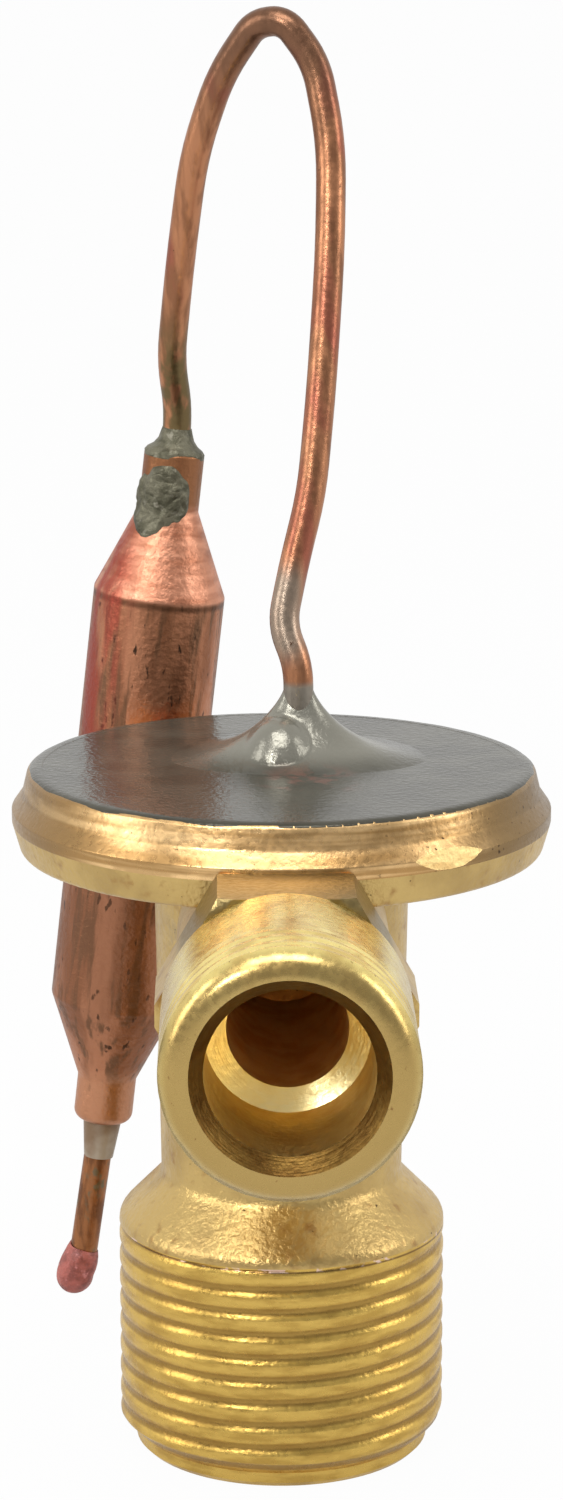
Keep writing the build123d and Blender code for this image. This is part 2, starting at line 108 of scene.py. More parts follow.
floor_paint, tree, output = new_material("floor_paint")
paint = add_node(tree, "ShaderNodeBsdfDiffuse", {"Color": (0.55, 0.55, 0.55, 1)})
glow = add_node(tree, "ShaderNodeEmission", {"Color": (1, 1, 1, 1), "Strength": 1.0})
rays = add_node(tree, "ShaderNodeLightPath")
for_camera = add_node(
    tree,
    "ShaderNodeMath",
    {0: rays.outputs["Is Camera Ray"], 1: camera_lift},
    operation="MULTIPLY",
)
for_gloss = add_node(
    tree,
    "ShaderNodeMath",
    {0: rays.outputs["Is Glossy Ray"], 1: gloss_lift},
    operation="MULTIPLY",
)
lifted = add_node(
    tree, "ShaderNodeMath", {0: for_camera.outputs[0], 1: for_gloss.outputs[0]}, operation="ADD"
)
mixed = add_node(
    tree, "ShaderNodeMixShader", {0: lifted.outputs[0], 1: paint.outputs[0], 2: glow.outputs[0]}
)
see_through = add_node(tree, "ShaderNodeBsdfTransparent")
sides = add_node(tree, "ShaderNodeNewGeometry")
one_sided = add_node(
    tree,
    "ShaderNodeMixShader",
    {0: sides.outputs["Backfacing"], 1: mixed.outputs[0], 2: see_through.outputs[0]},
)
tree.links.new(one_sided.outputs[0], output.inputs["Surface"])
floor.data.materials.append(floor_paint)

# ---------------------------------------------------------------- light
# A light tent: white behind the valve and greyer round the lens. A key lamp stands in front on
# the left, a broad soft lamp hangs overhead, and weaker ones fill in from both sides.
tent_front = 0.42
tent_back = 0.98
lamp_aim = Vector((0, 0, 0.05))
tent = bpy.data.worlds.new("tent")
tent.use_nodes = True
scene.world = tent
tree = tent.node_tree
tree.nodes.clear()
output = tree.nodes.new("ShaderNodeOutputWorld")
way = add_node(tree, "ShaderNodeTexCoord")
parts = add_node(tree, "ShaderNodeSeparateXYZ", {0: way.outputs["Generated"]})
from_behind = add_node(
    tree,
    "ShaderNodeMapRange",
    {0: parts.outputs["Y"], 1: -0.8, 2: 0.75, 3: tent_front, 4: tent_back},
    interpolation_type="SMOOTHSTEP",
)
rays = add_node(tree, "ShaderNodeLightPath")
seen_white = add_node(
    tree,
    "ShaderNodeMix",
    {0: rays.outputs["Is Camera Ray"], 2: from_behind.outputs[0], 3: 1.0},
    data_type="FLOAT",
)
light = add_node(
    tree, "ShaderNodeBackground", {"Color": (1, 1, 1, 1), "Strength": seen_white.outputs[0]}
)
tree.links.new(light.outputs[0], output.inputs["Surface"])


def add_softbox(name, place, width, height, watts):
    """A rectangular soft lamp that faces the middle of the valve."""
    lamp_data = bpy.data.lights.new(name, "AREA")
    lamp_data.shape = "RECTANGLE"
    lamp_data.size = width
    lamp_data.size_y = height
    lamp_data.energy = watts
    lamp = bpy.data.objects.new(name, lamp_data)
    lamp.location = place
    way_in = lamp_aim - Vector(place)
    lamp.rotation_euler = way_in.to_track_quat("-Z", "Y").to_euler()
    scene.collection.objects.link(lamp)


add_softbox("lamp_key", (-0.25, -0.41, 0.35), width=0.11, height=0.11, watts=0.9)
add_softbox("lamp_over", (-0.04, -0.24, 0.56), width=0.42, height=0.22, watts=1.9)
add_softbox("lamp_left", (-0.5, -0.12, 0.26), width=0.16, height=0.36, watts=0.7)
add_softbox("lamp_right", (0.5, -0.08, 0.28), width=0.12, height=0.36, watts=0.6)


# ---------------------------------------------------------------- valve body
# One hot-forged brass piece: the neck, the wrench hexagon and the flange keep their forged skin,
# the ports are bored and threaded on a lathe, and the lip is rolled over the cap.
def shader_group(name, inputs, outputs):
    """A node group with these input and output sockets, and its two end nodes."""
    group = bpy.data.node_groups.new(name, "ShaderNodeTree")
    for socket, kind, value in inputs:
        made = group.interface.new_socket(socket, in_out="INPUT", socket_type=kind)
        if value is not None:
            made.default_value = value
    for socket, kind in outputs:
        group.interface.new_socket(socket, in_out="OUTPUT", socket_type=kind)
    return group, group.nodes.new("NodeGroupInput"), group.nodes.new("NodeGroupOutput")


# streaks or patches of tarnish: noise drawn out along Z, cut softly between two levels
streaks, given, result = shader_group(
    "streaks",
    [
        ("Vector", "NodeSocketVector", None),
        ("Width mm", "NodeSocketFloat", 1.0),
        ("Length mm", "NodeSocketFloat", 1.0),
        ("Start", "NodeSocketFloat", 0.45),
        ("End", "NodeSocketFloat", 0.65),
    ],
    [("Mask", "NodeSocketFloat")],
)
across = add_node(
    streaks, "ShaderNodeMath", {0: 1000.0, 1: given.outputs["Width mm"]}, operation="DIVIDE"
)
along = add_node(
    streaks, "ShaderNodeMath", {0: 1000.0, 1: given.outputs["Length mm"]}, operation="DIVIDE"
)
per_metre = add_node(
    streaks,
    "ShaderNodeCombineXYZ",
    {0: across.outputs[0], 1: across.outputs[0], 2: along.outputs[0]},
)
drawn = add_node(
    streaks,
    "ShaderNodeVectorMath",
    {0: given.outputs["Vector"], 1: per_metre.outputs[0]},
    operation="MULTIPLY",
)
cloud = add_node(
    streaks, "ShaderNodeTexNoise", {"Vector": drawn.outputs[0], "Scale": 1.0, "Detail": 4.0}
)
edge = add_node(
    streaks,
    "ShaderNodeMapRange",
    {0: cloud.outputs[0], 1: given.outputs["Start"], 2: given.outputs["End"]},
    interpolation_type="SMOOTHSTEP",
)
streaks.links.new(edge.outputs[0], result.inputs["Mask"])

# where a measure in metres lies between two limits in millimetres, with soft edges
between, given, result = shader_group(
    "between",
    [
        ("Measure", "NodeSocketFloat", 0.0),
        ("Low mm", "NodeSocketFloat", 0.0),
        ("High mm", "NodeSocketFloat", 1.0),
        ("Soft mm", "NodeSocketFloat", 0.1),
    ],
    [("Mask", "NodeSocketFloat")],
)
measured = add_node(
    between, "ShaderNodeMath", {0: given.outputs["Measure"], 1: 1000.0}, operation="MULTIPLY"
)
sides_of = []
for limit, first, second in (
    ("Low mm", measured.outputs[0], None),
    ("High mm", None, measured.outputs[0]),
):
    gap = add_node(
        between,
        "ShaderNodeMath",
        {0: first or given.outputs[limit], 1: second or given.outputs[limit]},
        operation="SUBTRACT",
    )
    eased = add_node(
        between,
        "ShaderNodeMath",
        {0: gap.outputs[0], 1: given.outputs["Soft mm"]},
        operation="DIVIDE",
    )
    sides_of.append(
        add_node(
            between,
            "ShaderNodeMapRange",
            {0: eased.outputs[0], 1: -1.0, 2: 1.0},
            interpolation_type="SMOOTHSTEP",
        )
    )
inside = add_node(
    between,
    "ShaderNodeMath",
    {0: sides_of[0].outputs[0], 1: sides_of[1].outputs[0]},
    operation="MULTIPLY",
)
between.links.new(inside.outputs[0], result.inputs["Mask"])

# fine rings left by a lathe tool, turned about Z: noise squeezed along the axis and the radius
turned_rings, given, result = shader_group(
    "turned_rings",
    [("Vector", "NodeSocketVector", None), ("Spacing mm", "NodeSocketFloat", 0.2)],
    [("Rings", "NodeSocketFloat"), ("Radius", "NodeSocketFloat")],
)
place = add_node(turned_rings, "ShaderNodeSeparateXYZ", {0: given.outputs["Vector"]})
flat = add_node(
    turned_rings,
    "ShaderNodeCombineXYZ",
    {0: place.outputs["X"], 1: place.outputs["Y"], 2: 0.0},
)
radius = add_node(turned_rings, "ShaderNodeVectorMath", {0: flat.outputs[0]}, operation="LENGTH")
round_about = add_node(
    turned_rings, "ShaderNodeVectorMath", {0: flat.outputs[0]}, operation="NORMALIZE"
)
along = add_node(
    turned_rings,
    "ShaderNodeMath",
    {0: place.outputs["Z"], 1: radius.outputs["Value"]},
    operation="ADD",
)
per_metre = add_node(
    turned_rings, "ShaderNodeMath", {0: 1000.0, 1: given.outputs["Spacing mm"]}, operation="DIVIDE"
)
packed = add_node(
    turned_rings,
    "ShaderNodeMath",
    {0: along.outputs[0], 1: per_metre.outputs[0]},
    operation="MULTIPLY",
)
lift = add_node(turned_rings, "ShaderNodeCombineXYZ", {0: 0.0, 1: 0.0, 2: packed.outputs[0]})
spread = add_node(
    turned_rings,
    "ShaderNodeVectorMath",
    {0: round_about.outputs[0], 1: lift.outputs[0]},
    operation="ADD",
)
lines = add_node(
    turned_rings, "ShaderNodeTexNoise", {"Vector": spread.outputs[0], "Scale": 1.0, "Detail": 2.0}
)
turned_rings.links.new(lines.outputs[0], result.inputs["Rings"])
turned_rings.links.new(radius.outputs["Value"], result.inputs["Radius"])


def streaked(tree, where, width, length, start, end):
    """The mask of streaks of this width and length in millimetres."""
    sizes = {"Vector": where, "Width mm": width, "Length mm": length, "Start": start, "End": end}
    return add_node(tree, "ShaderNodeGroup", sizes, node_tree=streaks).outputs["Mask"]


def zone(tree, measure, low, high, soft):
    """The mask of a zone between two limits in millimetres."""
    limits = {"Measure": measure, "Low mm": low, "High mm": high, "Soft mm": soft}
    return add_node(tree, "ShaderNodeGroup", limits, node_tree=between).outputs["Mask"]


def times(tree, first, second):
    """The product of two masks, or of a mask and a number."""
    return add_node(tree, "ShaderNodeMath", {0: first, 1: second}, operation="MULTIPLY").outputs[0]


def coat(tree, below, mask, above):
    """Lays a colour over another one where the mask says."""
    return add_node(
        tree, "ShaderNodeMix", {0: mask, 6: below, 7: above}, data_type="RGBA"
    ).outputs[2]


def start_metal(name):
    """Opens a material: its tree, its output, and the place on the piece, whole and by axis."""
    material, tree, output = new_material(name)
    where = add_node(tree, "ShaderNodeTexCoord").outputs["Object"]
    by_axis = add_node(tree, "ShaderNodeSeparateXYZ", {0: where})
    return material, tree, output, where, by_axis


grain_size = 0.45               # millimetres
grain_gloss = 0.14              # how much rougher the grain makes a metal here and there
relief_height = 0.0001


def end_metal(tree, output, where, colour, roughness, grain_depth, rings=None, metallic=1.0):
    """Closes a material: fine grain in its gloss and relief, and tool rings where it is turned."""
    grain = streaked(tree, where, grain_size, grain_size, 0.3, 0.8)
    worn = add_node(
        tree, "ShaderNodeMapRange", {0: grain, 3: roughness, 4: roughness + grain_gloss}
    )
    relief = add_node(
        tree,
        "ShaderNodeBump",
        {"Height": grain, "Strength": grain_depth, "Distance": relief_height},
    )
    if rings:
        ring_lines, ring_depth = rings
        relief = add_node(
            tree,
            "ShaderNodeBump",
            {
                "Height": ring_lines,
                "Strength": ring_depth,
                "Distance": relief_height,
                "Normal": relief.outputs[0],
            },
        )
    metal = add_node(
        tree,
        "ShaderNodeBsdfPrincipled",
        {
            "Base Color": colour,
            "Metallic": metallic,
            "Roughness": worn.outputs[0],
            "Normal": relief.outputs[0],
        },
    )
    tree.links.new(metal.outputs[0], output.inputs["Surface"])
    return metal


def lathe_rings(tree, where, spacing):
    """Tool rings about the Z axis of these coordinates. Their node also has the radius."""
    cut = add_node(
        tree, "ShaderNodeGroup", {"Vector": where, "Spacing mm": spacing}, node_tree=turned_rings
    )
    return cut.outputs["Rings"]


def inlet_place(tree, where):
    """Coordinates whose Z runs out along the inlet port's axis."""
    return add_node(
        tree,
        "ShaderNodeMapping",
        {
            "Vector": where,
            "Location": (0, -inlet_axis_z, 0),
            "Rotation": (-math.pi / 2, 0, 0),
        },
    ).outputs[0]


weld_gap = 1e-6                 # vertices nearer than this are one
plane_gap = 1e-7                # a vertex this near a cutting plane lies on it
outlet_thread_r = 0.0127
outlet_pilot_r = 0.01145
outlet_pilot_height = 0.0012
outlet_pitch = 0.0018143        # 14 threads to the inch
outlet_thread_depth = 0.00024
outlet_thread_top = 0.01807
inlet_axis_z = 0.0424
inlet_thread_r = 0.00895
inlet_pitch = 0.0015
inlet_thread_depth = 0.00014
inlet_thread_start = 0.0278     # measured from the valve's axis
inlet_thread_end = 0.04185
inlet_worn_end = 0.0362         # behind this the spigot is smooth
ring_gap = 0.00005              # left between a thread's sleeve and the body's open rings
ring_reach = 0.00012            # how far from its place an open ring is looked for
ridge_points = 14               # rows across one thread ridge
crest_share = 0.2               # of the pitch, left flat
turn_steps = 180
run_out_slope = 1.5
run_out_gap = 0.0001
wear_slope = 0.04               # how slowly the inlet's grooves deepen past the worn end
thread_skin = 0.0001            # how far under its crests the inlet's plain skin still goes
nose_corner = math.radians(50)  # edges sharper than this stay sharp at the spigot's nose
plain_corner = math.radians(30) # and elsewhere on the body


def push_out(vert, distance):
    """Moves a vertex straight away from the Z axis."""
    axis_r = math.hypot(vert.co.x, vert.co.y)
    vert.co.x *= 1 + distance / axis_r
    vert.co.y *= 1 + distance / axis_r


def turn_line(shape, points, edges, steps, middle=(0, 0, 0)):
    """Turns a line once round an upright axis through this middle."""
    bmesh.ops.spin(
        shape,
        geom=points + edges,
        cent=middle,
        axis=(0, 0, 1),
        dvec=(0, 0, 0),
        angle=2 * math.pi,
        steps=steps,
        use_merge=True,
    )


def turned_ring(profile, steps):
    """A ring about Z with this closed profile of radii and heights."""
    ring = bmesh.new()
    points = [ring.verts.new((radius, 0, height)) for radius, height in profile]
    edges = [ring.edges.new(pair) for pair in zip(points, points[1:] + points[:1])]
    turn_line(ring, points, edges, steps)
    return ring


def take_in(shape, other):
    """Moves all faces of the other bmesh into this one."""
    loose = bpy.data.meshes.new("loose")
    other.to_mesh(loose)
    other.free()
    shape.from_mesh(loose)
    bpy.data.meshes.remove(loose)


def cut_thread(crest_r, depth, pitch, low, high, lead_in, run_out):
    """A sleeve with a right-hand thread about Z: one ridged line spun through a climbing turn."""
    sleeve = bmesh.new()
    rows = math.ceil((high - low + 2 * pitch) / pitch) * ridge_points
    line = []
    for row in range(rows + 1):
        across = (row % ridge_points) / ridge_points
        down = max(0.0, (across - crest_share) / (1 - crest_share))
        groove = 0.5 - 0.5 * math.cos(2 * math.pi * down)
        height = low - pitch + row * pitch / ridge_points
        line.append(sleeve.verts.new((crest_r - depth * groove, 0, height)))
    edges = [sleeve.edges.new(pair) for pair in zip(line, line[1:])]
    bmesh.ops.spin(
        sleeve,
        geom=line + edges,
        cent=(0, 0, 0),
        axis=(0, 0, 1),
        dvec=(0, 0, pitch / turn_steps),
        angle=2 * math.pi,
        steps=turn_steps,
    )
    bmesh.ops.remove_doubles(sleeve, verts=sleeve.verts, dist=2 * weld_gap)
    for vert in sleeve.verts:
        ring_r = math.hypot(vert.co.x, vert.co.y)
        wanted = min(ring_r, lead_in(vert.co.z))
        wanted = max(wanted, run_out(vert.co.z))
        vert.co.x *= wanted / ring_r
        vert.co.y *= wanted / ring_r
    for height, normal in ((low, (0, 0, -1)), (high, (0, 0, 1))):
        bmesh.ops.bisect_plane(
            sleeve,
            geom=sleeve.verts[:] + sleeve.edges[:] + sleeve.faces[:],
            dist=plane_gap,
            plane_co=(0, 0, height),
            plane_no=normal,
            clear_outer=True,
        )
    return sleeve


def join_rings(shape, axis_point, axis_way, places):
    """Bridges the pairs of open rings that lie near each of these places along an axis."""
    start, way = Vector(axis_point), Vector(axis_way)
    for place in places:
        near = [
            edge
            for edge in shape.edges
            if edge.is_boundary
            and all(abs((vert.co - start).dot(way) - place) < ring_reach for vert in edge.verts)
        ]
        bmesh.ops.bridge_loops(shape, edges=near)


forging = bmesh.new()
forging.from_mesh(solids["valve_body"].data)
bmesh.ops.remove_doubles(forging, verts=forging.verts, dist=weld_gap)

plain_faces = []
for face in forging.faces:
    middle = face.calc_center_median()
    outlet_r = math.hypot(middle.x, middle.y)
    inlet_r = math.hypot(middle.x, middle.z - inlet_axis_z)
    if outlet_pilot_height < middle.z < outlet_thread_top and outlet_r > outlet_pilot_r:
        plain_faces.append(face)
    elif (
        -inlet_thread_end < middle.y < -inlet_thread_start
        and inlet_r > inlet_thread_r - thread_skin
    ):
        plain_faces.append(face)
bmesh.ops.delete(forging, geom=plain_faces, context="FACES")

outlet_sleeve = cut_thread(
    outlet_thread_r,
    outlet_thread_depth,
    outlet_pitch,
    outlet_pilot_height + ring_gap,
    outlet_thread_top - ring_gap,
    lambda z: outlet_pilot_r + max(0.0, z - outlet_pilot_height),
    lambda z: outlet_thread_r - run_out_slope * max(0.0, outlet_thread_top - run_out_gap - z),
)
inlet_sleeve = cut_thread(
    inlet_thread_r,
    inlet_thread_depth,
    inlet_pitch,
    inlet_thread_start + ring_gap,
    inlet_thread_end - ring_gap,
    lambda z: inlet_thread_r,
    lambda z: inlet_thread_r
    - run_out_slope
    * min(
        max(0.0, inlet_thread_end - run_out_gap - z),
        wear_slope * max(0.0, z - inlet_worn_end),
    ),
)
inlet_turn = Matrix.Translation((0, 0, inlet_axis_z)) @ Matrix.Rotation(math.pi / 2, 4, "X")
bmesh.ops.transform(inlet_sleeve, matrix=inlet_turn, verts=inlet_sleeve.verts)
for sleeve in (outlet_sleeve, inlet_sleeve):
    take_in(forging, sleeve)
join_rings(forging, (0, 0, 0), (0, 0, 1), (outlet_pilot_height, outlet_thread_top))
join_rings(forging, (0, 0, inlet_axis_z), (0, -1, 0), (inlet_thread_start, inlet_thread_end))

# a flat ground on the flange's band, right of the port
ground_turn = math.radians(36)
ground_tilt = math.radians(14)
ground_r = 0.02047
ground_height = 0.0509
ground_left = 0.008             # the flat lies right of this
ground_flatness = 2e-6
band_low = 0.049
band_inner_r = 0.018
band_outer_r = 0.0209
nose_start = 0.0417             # the rounded end of the spigot, out from the valve's axis
nose_bore_r = 0.0072
ground_way = Vector(
    (
        math.cos(ground_tilt) * math.sin(ground_turn),
        -math.cos(ground_tilt) * math.cos(ground_turn),
        math.sin(ground_tilt),
    )
)
ground_point = Vector((math.sin(ground_turn), -math.cos(ground_turn), 0)) * ground_r
ground_point.z = ground_height


def on_band(vert):
    """Whether a vertex lies on the flange's band, right of the port."""
    axis_r = math.hypot(vert.co.x, vert.co.y)
    on_side = band_inner_r < axis_r < band_outer_r
    return vert.co.x > ground_left and vert.co.z > band_low and on_side


band_faces = [face for face in forging.faces if all(on_band(vert) for vert in face.verts)]
band_edges = {edge for face in band_faces for edge in face.edges}
band_verts = {vert for face in band_faces for vert in face.verts}
bmesh.ops.bisect_plane(
    forging,
    geom=[*band_verts, *band_edges, *band_faces],
    dist=plane_gap,
    plane_co=ground_point,
    plane_no=ground_way,
)
for vert in filter(on_band, forging.verts):
    proud = (vert.co - ground_point).dot(ground_way)
    if proud > 0:
        vert.co -= ground_way * proud
bmesh.ops.dissolve_degenerate(forging, dist=plane_gap, edges=forging.edges)
bmesh.ops.recalc_face_normals(forging, faces=forging.faces)


def is_ground(face):
    """Whether a face belongs to the ground flat."""
    return all(
        on_band(vert) and abs((vert.co - ground_point).dot(ground_way)) < ground_flatness
        for vert in face.verts
    )


ground_faces = {face for face in forging.faces if is_ground(face)}
for edge in forging.edges:
    at_ground = sum(face in ground_faces for face in edge.link_faces) == 1
    at_nose = all(vert.co.y < -nose_start for vert in edge.verts) and all(
        math.hypot(vert.co.x, vert.co.z - inlet_axis_z) > nose_bore_r for vert in edge.verts
    )
    corner = nose_corner if at_nose else plain_corner
    edge.smooth = not at_ground and edge.calc_face_angle(0) < corner


def finish_piece(name, shape, body, node, materials, corner_degrees=None):
    """Turns a finished bmesh into an object that stands for a CAD node and rides on a body."""
    mesh = bpy.data.meshes.new(name)
    shape.to_mesh(mesh)
    shape.free()
    mesh.shade_smooth()
    if corner_degrees:
        mesh.set_sharp_from_angle(angle=math.radians(corner_degrees))
    piece = bpy.data.objects.new(name, mesh)
    scene.collection.objects.link(piece)
    for material in materials:
        piece.data.materials.append(material)
    if body:
        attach(piece, body)
    if node:
        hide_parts(node)
    return piece


# the forged skin, satin and faintly mottled, with painted shade under the flange, and with dark
# specks
forged_skin, tree, output, where, by_axis = start_metal("forged_skin")
colour = coat(
    tree, (0.62, 0.435, 0.165, 1), streaked(tree, where, 4.5, 4.5, 0.4, 0.7), (0.5, 0.34, 0.13, 1)
)
colour = coat(tree, colour, streaked(tree, where, 1.6, 1.6, 0.56, 0.74), (0.42, 0.25, 0.09, 1))
# painted shade: the skin is darkened under the flange, over the hexagon's top, where the flange
# shades it
shade_under_flange = times(
    tree,
    zone(tree, by_axis.outputs["Z"], 46.0, 52.5, 0.8),
    zone(tree, by_axis.outputs["Y"], -30.0, -20.0, 0.4),
)
colour = coat(tree, colour, times(tree, shade_under_flange, 0.85), (0.23, 0.175, 0.075, 1))
colour = coat(tree, colour, streaked(tree, where, 0.5, 0.5, 0.7, 0.76), (0.1, 0.06, 0.025, 1))
end_metal(tree, output, where, colour, roughness=0.3, grain_depth=0.35)

# the band and the rolled lip: turned, with painted shade at both sides, so that the front stays
# lighter, and pitted on the right
rolled_rim, tree, output, where, by_axis = start_metal("rolled_rim")
rings = lathe_rings(tree, where, 0.55)
band_marks = add_node(tree, "ShaderNodeMapRange", {0: rings, 1: 0.42, 2: 0.6}).outputs[0]
colour = coat(tree, (0.95, 0.63, 0.3, 1), band_marks, (0.5, 0.29, 0.11, 1))
tarnish = times(tree, streaked(tree, where, 4.0, 1.2, 0.44, 0.62), 0.6)
colour = coat(tree, colour, tarnish, (0.42, 0.25, 0.1, 1))
# painted shade: the band is darkened at its left and right, where less light falls on it
for low, high, strength in ((12.5, 40.0, 0.95), (-40.0, -15.0, 0.65)):
    side_shade = times(tree, zone(tree, by_axis.outputs["X"], low, high, 4.0), strength)
    colour = coat(tree, colour, side_shade, (0.25, 0.16, 0.07, 1))
pits = times(
    tree,
    zone(tree, by_axis.outputs["X"], 7.0, 30.0, 2.0),
    streaked(tree, where, 0.45, 0.45, 0.66, 0.7),
)
colour = coat(tree, colour, pits, (0.07, 0.04, 0.02, 1))
colour = coat(tree, colour, streaked(tree, where, 0.5, 0.5, 0.72, 0.77), (0.1, 0.06, 0.03, 1))
end_metal(tree, output, where, colour, roughness=0.26, grain_depth=0.12, rings=(rings, 0.12))

# the ground flat: bare bright metal
bare_brass, tree, output, where, _ = start_metal("bare_brass")
colour = coat(
    tree, (0.86, 0.64, 0.28, 1), streaked(tree, where, 2.0, 0.5, 0.4, 0.7), (0.66, 0.43, 0.17, 1)
)
end_metal(tree, output, where, colour, roughness=0.3, grain_depth=0.1)

# the outlet end, darker down in its thread's grooves, with a painted shadow line under the
# shoulder and painted glints of burrs where the thread runs out
cut_brass, tree, output, where, by_axis = start_metal("cut_brass")
rings = lathe_rings(tree, where, 0.16)
colour = coat(
    tree, (0.72, 0.48, 0.12, 1), streaked(tree, where, 3.0, 0.7, 0.4, 0.66), (0.54, 0.34, 0.08, 1)
)
radius = rings.node.outputs["Radius"]
# darker down in the thread's grooves
groove_darkening = times(tree, zone(tree, radius, 11.9, 12.55, 0.05), 0.72)
colour = coat(tree, colour, groove_darkening, (0.3, 0.17, 0.045, 1))
# painted shadow: a dark line just under the shoulder stands in for the shade in a relief groove
# that is not modelled
relief_shadow_line = zone(tree, by_axis.outputs["Z"], 17.72, 17.86, 0.05)
colour = coat(tree, colour, times(tree, relief_shadow_line, 0.8), (0.14, 0.07, 0.03, 1))
# painted highlights: pinkish-white glints of burrs where the thread runs out
burr_glints = times(
    tree,
    zone(tree, by_axis.outputs["Z"], 17.8, 18.2, 0.08),
    streaked(tree, where, 1.3, 0.8, 0.55, 0.62),
)
colour = coat(tree, colour, burr_glints, (0.85, 0.62, 0.5, 1))
end_metal(tree, output, where, colour, roughness=0.26, grain_depth=0.2, rings=(rings, 0.2))

# the inlet spigot, worn nearly smooth, painted bright on top, with painted shade at its sides and
# on its nose
spigot_brass, tree, output, where, by_axis = start_metal("spigot_brass")
rings = lathe_rings(tree, inlet_place(tree, where), 0.5)
colour = coat(
    tree, (0.93, 0.76, 0.28, 1), streaked(tree, where, 2.2, 2.2, 0.42, 0.66), (0.76, 0.56, 0.19, 1)
)
# painted shade: darker down the spigot's sides, below its painted-bright top
spigot_side_shade = zone(tree, by_axis.outputs["Z"], 30.0, 46.5, 1.6)
colour = coat(tree, colour, times(tree, spigot_side_shade, 0.8), (0.56, 0.4, 0.13, 1))
# painted shade: the nose is darkened where it reflects the darker front
nose_shade = zone(tree, by_axis.outputs["Y"], -50.0, -42.2, 0.4)
colour = coat(tree, colour, times(tree, nose_shade, 0.85), (0.46, 0.31, 0.11, 1))
colour = coat(tree, colour, streaked(tree, where, 0.5, 0.5, 0.68, 0.76), (0.3, 0.17, 0.06, 1))
end_metal(tree, output, where, colour, roughness=0.22, grain_depth=0.06, rings=(rings, 0.12))


def bore_material(name, clean, browned, roughness, spacing):
    """A bored surface of the inlet, with tool rings about its axis."""
    bore, tree, output, where, _ = start_metal(name)
    rings = lathe_rings(tree, inlet_place(tree, where), spacing)
    colour = coat(tree, clean, streaked(tree, where, 2.5, 2.5, 0.4, 0.68), browned)
    end_metal(tree, output, where, colour, roughness, grain_depth=0.15, rings=(rings, 0.2))
    return bore


# painted shade: the mouth's chamfer is made dark brown, where it reflects the dark front
mouth_shade = bore_material(
    "mouth_shade", (0.24, 0.14, 0.036, 1), (0.16, 0.085, 0.022, 1), roughness=0.34, spacing=0.25
)
# painted highlight: the drilled cone is made near white-gold, brighter than the bore, for the
# bright crescent it shows
cone_highlight = bore_material(
    "cone_highlight", (1, 0.86, 0.46, 1), (0.95, 0.76, 0.34, 1), roughness=0.28, spacing=0.3
)
bored_brass = bore_material(
    "bored_brass", (0.93, 0.72, 0.32, 1), (0.82, 0.58, 0.22, 1), roughness=0.3, spacing=0.3
)
# painted light: the feed bore is made bright, to make up for light that hardly reaches it
feed_bore_lit = bore_material(
    "feed_bore_lit", (0.97, 0.66, 0.3, 1), (0.88, 0.52, 0.2, 1), roughness=0.6, spacing=0.4
)
body_finishes = [
    forged_skin,
    rolled_rim,
    bare_brass,
    cut_brass,
    spigot_brass,
    mouth_shade,
    bored_brass,
    cone_highlight,
    feed_bore_lit,
]


inlet_bore_r = 0.00687
inlet_bore_end = 0.0306         # this and the next two are measured out from the valve's axis
bore_cone_end = 0.0317
bore_mouth_start = 0.0415
feed_r = 0.0044
feed_start = 0.0089
spigot_inner_r = 0.0068
outlet_top = 0.01815
lip_low = 0.0502
lip_inner_r = 0.0186
lip_outer_r = 0.021


def body_finish(face):
    """Which of the body's finishes this face has, by its place."""
    middle = face.calc_center_median()
    out = -middle.y
    port_r = math.hypot(middle.x, middle.z - inlet_axis_z)
    axis_r = math.hypot(middle.x, middle.y)
    if face in ground_faces:
        return bare_brass
    if out > inlet_bore_end and port_r < inlet_bore_r:
        if out > bore_mouth_start:
            return mouth_shade
        return cone_highlight if out < bore_cone_end else bored_brass
    if out > feed_start and port_r < feed_r:
        return feed_bore_lit
    if out > inlet_thread_start and port_r > spigot_inner_r:
        return spigot_brass
    if middle.z < outlet_top:
        return cut_brass
    if middle.z > lip_low and lip_inner_r < axis_r < lip_outer_r:
        return rolled_rim
    return forged_skin


for face in forging.faces:
    face.material_index = body_finishes.index(body_finish(face))
finish_piece("forging", forging, "root", "valve_body", body_finishes)


# ---------------------------------------------------------------- parts inside the valve
# Turned brass and bright steel parts. Those that show at all do so through the outlet: the
# adjusting nut with its hexagon socket, the spring and its seat, the ball and its carrier.
def carry_over(name, material):
    """Gives a CAD node whose shape is right its material."""
    solids[name].data.materials.clear()
    solids[name].data.materials.append(material)


turned_brass, tree, output, where, _ = start_metal("turned_brass")
rings = lathe_rings(tree, where, 0.22)
colour = coat(
    tree, (0.76, 0.56, 0.24, 1), streaked(tree, where, 2.0, 2.0, 0.42, 0.7), (0.6, 0.42, 0.17, 1)
)
end_metal(tree, output, where, colour, roughness=0.22, grain_depth=0.1, rings=(rings, 0.25))
for name in ("adjusting_nut", "spring_seat", "ball_carrier", "thrust_pad"):
    carry_over(name, turned_brass)

bright_steel, tree, output, where, _ = start_metal("bright_steel")
rings = lathe_rings(tree, where, 0.3)
colour = coat(
    tree, (0.6, 0.6, 0.6, 1), streaked(tree, where, 1.0, 1.0, 0.45, 0.7), (0.45, 0.44, 0.42, 1)
)
end_metal(tree, output, where, colour, roughness=0.18, grain_depth=0.08, rings=(rings, 0.1))
for name in (
    "seat_insert",
    "valve_ball",
    "push_rod_1",
    "push_rod_2",
    "push_rod_3",
    "diaphragm",
):
    carry_over(name, bright_steel)

